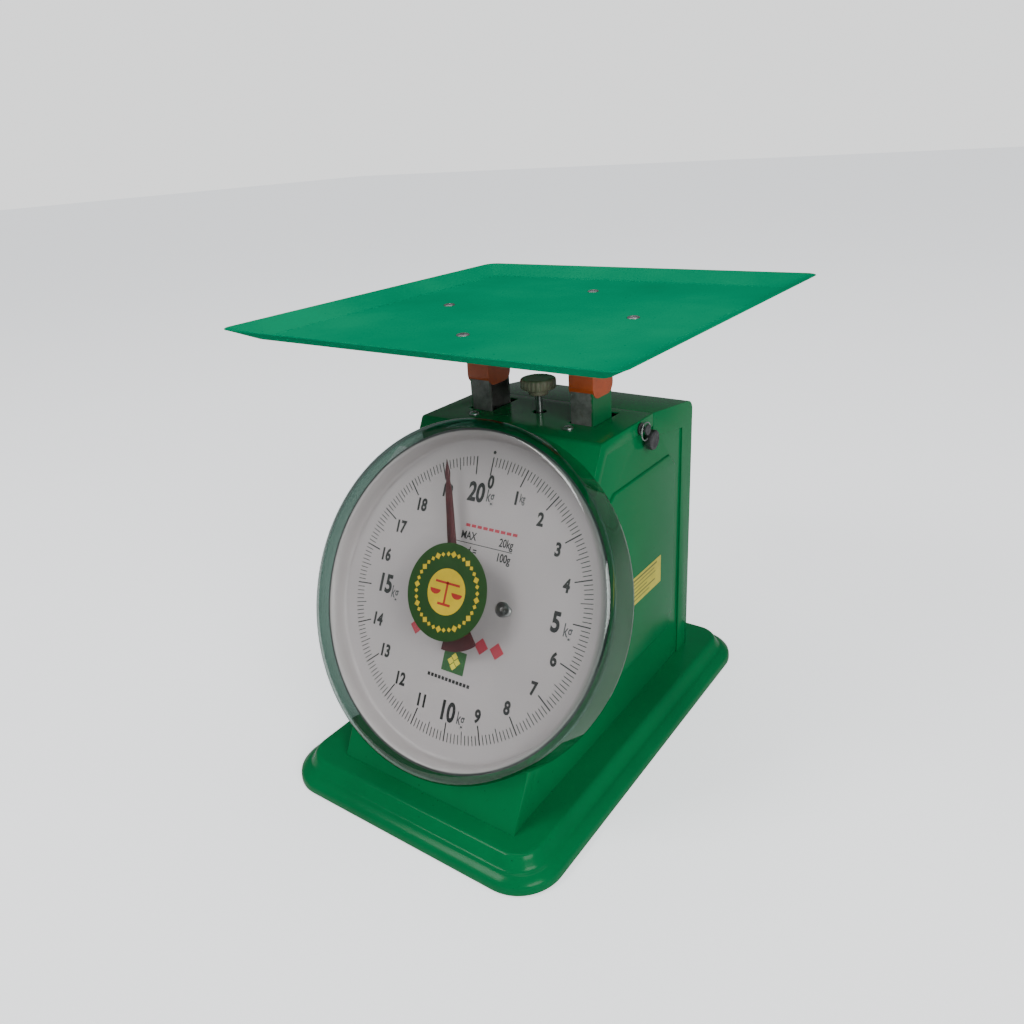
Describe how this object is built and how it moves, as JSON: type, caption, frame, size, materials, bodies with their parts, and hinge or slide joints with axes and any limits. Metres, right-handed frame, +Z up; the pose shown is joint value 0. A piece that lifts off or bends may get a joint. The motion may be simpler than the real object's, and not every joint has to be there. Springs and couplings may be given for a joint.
{
  "type": "mechanical dial platform scale",
  "caption": "Spring platform scale with a leaning round dial under a clear cover, a square metal tray on two posts and a pressed base.",
  "frame": {"origin": "on the ground under the middle of the base", "axes": "+Z up, -Y towards the reader of the dial, +X to the reader's right"},
  "size_m": [0.28, 0.324, 0.3105],
  "materials": {
    "green_paint": "gloss",
    "tray_paint": "satin",
    "rubber_foot": "matte",
    "zinc_steel": "satin",
    "frame_steel": "satin",
    "post_paint": "satin",
    "spring_steel": "satin",
    "brass_parts": "satin",
    "pointer_red": "satin",
    "dial_white": "satin",
    "clear_plastic": "gloss",
    "sticker_green": "satin",
    "label_yellow": "satin",
    "knob_cream": "satin",
    "cap_orange": "satin",
    "lead_grey": "matte"
  },
  "bodies": {
    "housing": {"base_pan": "green_paint", "foot_front_left": "rubber_foot", "foot_front_right": "rubber_foot", "foot_back_left": "rubber_foot", "foot_back_right": "rubber_foot", "front_top_cover": "green_paint", "side_panel_left": "green_paint", "side_panel_right": "green_paint", "back_cover": "green_paint", "top_screw_left": "zinc_steel", "top_screw_right": "zinc_steel", "back_screws": "zinc_steel", "frame_plate_left": "frame_steel", "frame_plate_right": "frame_steel", "frame_bridge": "frame_steel", "upper_pivot_rod": "zinc_steel", "lower_pivot_rod": "zinc_steel", "movement_front_plate": "brass_parts", "movement_back_plate": "brass_parts", "movement_pillars": "brass_parts", "rack_roller": "brass_parts", "dial_plate": "dial_white", "dial_post_left": "zinc_steel", "dial_post_right": "zinc_steel", "dial_screw_left": "zinc_steel", "dial_screw_right": "zinc_steel", "clear_cover": "clear_plastic", "cover_sticker": "sticker_green", "seal_screw": "zinc_steel", "side_label": "label_yellow"},
    "zero_adjuster": {"zero_knob": "knob_cream", "zero_screw": "zinc_steel"},
    "spring_carrier": {"spring_hanger": "frame_steel", "main_spring_left": "spring_steel", "main_spring_right": "spring_steel"},
    "load_frame": {"load_post_left": "post_paint", "load_post_right": "post_paint", "load_crossbar": "frame_steel", "rack_arm": "frame_steel", "platform_tray": "tray_paint", "platform_cross": "post_paint", "platform_screw_left": "zinc_steel", "platform_screw_right": "zinc_steel", "platform_screw_front": "zinc_steel", "platform_screw_back": "zinc_steel", "post_cap_left": "cap_orange", "post_cap_right": "cap_orange"},
    "upper_guide": {"upper_lever": "frame_steel", "upper_pin_left": "zinc_steel", "upper_pin_right": "zinc_steel"},
    "lower_guide": {"lower_lever": "frame_steel", "lower_pin_left": "zinc_steel", "lower_pin_right": "zinc_steel"},
    "rack_slider": {"rack": "zinc_steel", "rack_foot_pin": "zinc_steel"},
    "pointer_shaft": {"pinion_arbor": "brass_parts", "pointer_hub": "brass_parts", "pointer": "pointer_red"},
    "seal_tag": {"seal_wire": "zinc_steel", "lead_seal": "lead_grey"}
  },
  "joints": [
    {"name": "platform_slide", "type": "slide", "parent": "housing", "child": "load_frame", "axis": [0, 0, -1], "range_m": [0, 0.01395], "stiffness_N_per_m": 15100, "springref_m": -0.001, "deforming": ["main_spring_left", "main_spring_right"]},
    {"name": "rack_slide", "type": "slide", "parent": "housing", "child": "rack_slider", "axis": [0, -0.4741, -0.8805], "range_m": [0, 0.0159]},
    {"name": "pointer_turn", "type": "hinge", "parent": "housing", "child": "pointer_shaft", "pos_m": [0.004, -0.08081, 0.1398], "axis": [0, 0.8805, -0.4741], "range_deg": [0, 379]},
    {"name": "upper_lever_hinge", "type": "hinge", "parent": "housing", "child": "upper_guide", "pos_m": [0, 0.087, 0.169], "axis": [1, 0, 0], "range_deg": [0, 12.2]},
    {"name": "lower_lever_hinge", "type": "hinge", "parent": "housing", "child": "lower_guide", "pos_m": [0, 0.087, 0.097], "axis": [1, 0, 0], "range_deg": [0, 12.2]},
    {"name": "zero_knob_turn", "type": "hinge", "parent": "housing", "child": "zero_adjuster", "pos_m": [0, 0.02, 0.25], "axis": [0, 0, 1], "range_deg": [-360, 360]},
    {"name": "hanger_slide", "type": "slide", "parent": "housing", "child": "spring_carrier", "axis": [0, 0, 1], "range_m": [-0.00099, 0.00099]},
    {"name": "seal_swing", "type": "hinge", "parent": "housing", "child": "seal_tag", "pos_m": [0.0752, 0.029, 0.23], "axis": [1, 0, 0], "range_deg": [-45, 30]}
  ],
  "couplings": [
    {"joint": "rack_slide", "follows": "platform_slide", "ratio": 1.1357},
    {"joint": "pointer_turn", "follows": "platform_slide", "rad_per_m": 473.23},
    {"joint": "upper_lever_hinge", "follows": "platform_slide", "rad_per_m": 14.925},
    {"joint": "lower_lever_hinge", "follows": "platform_slide", "rad_per_m": 14.925},
    {"joint": "zero_knob_turn", "follows": "hanger_slide", "rad_per_m": 6283.2}
  ]
}
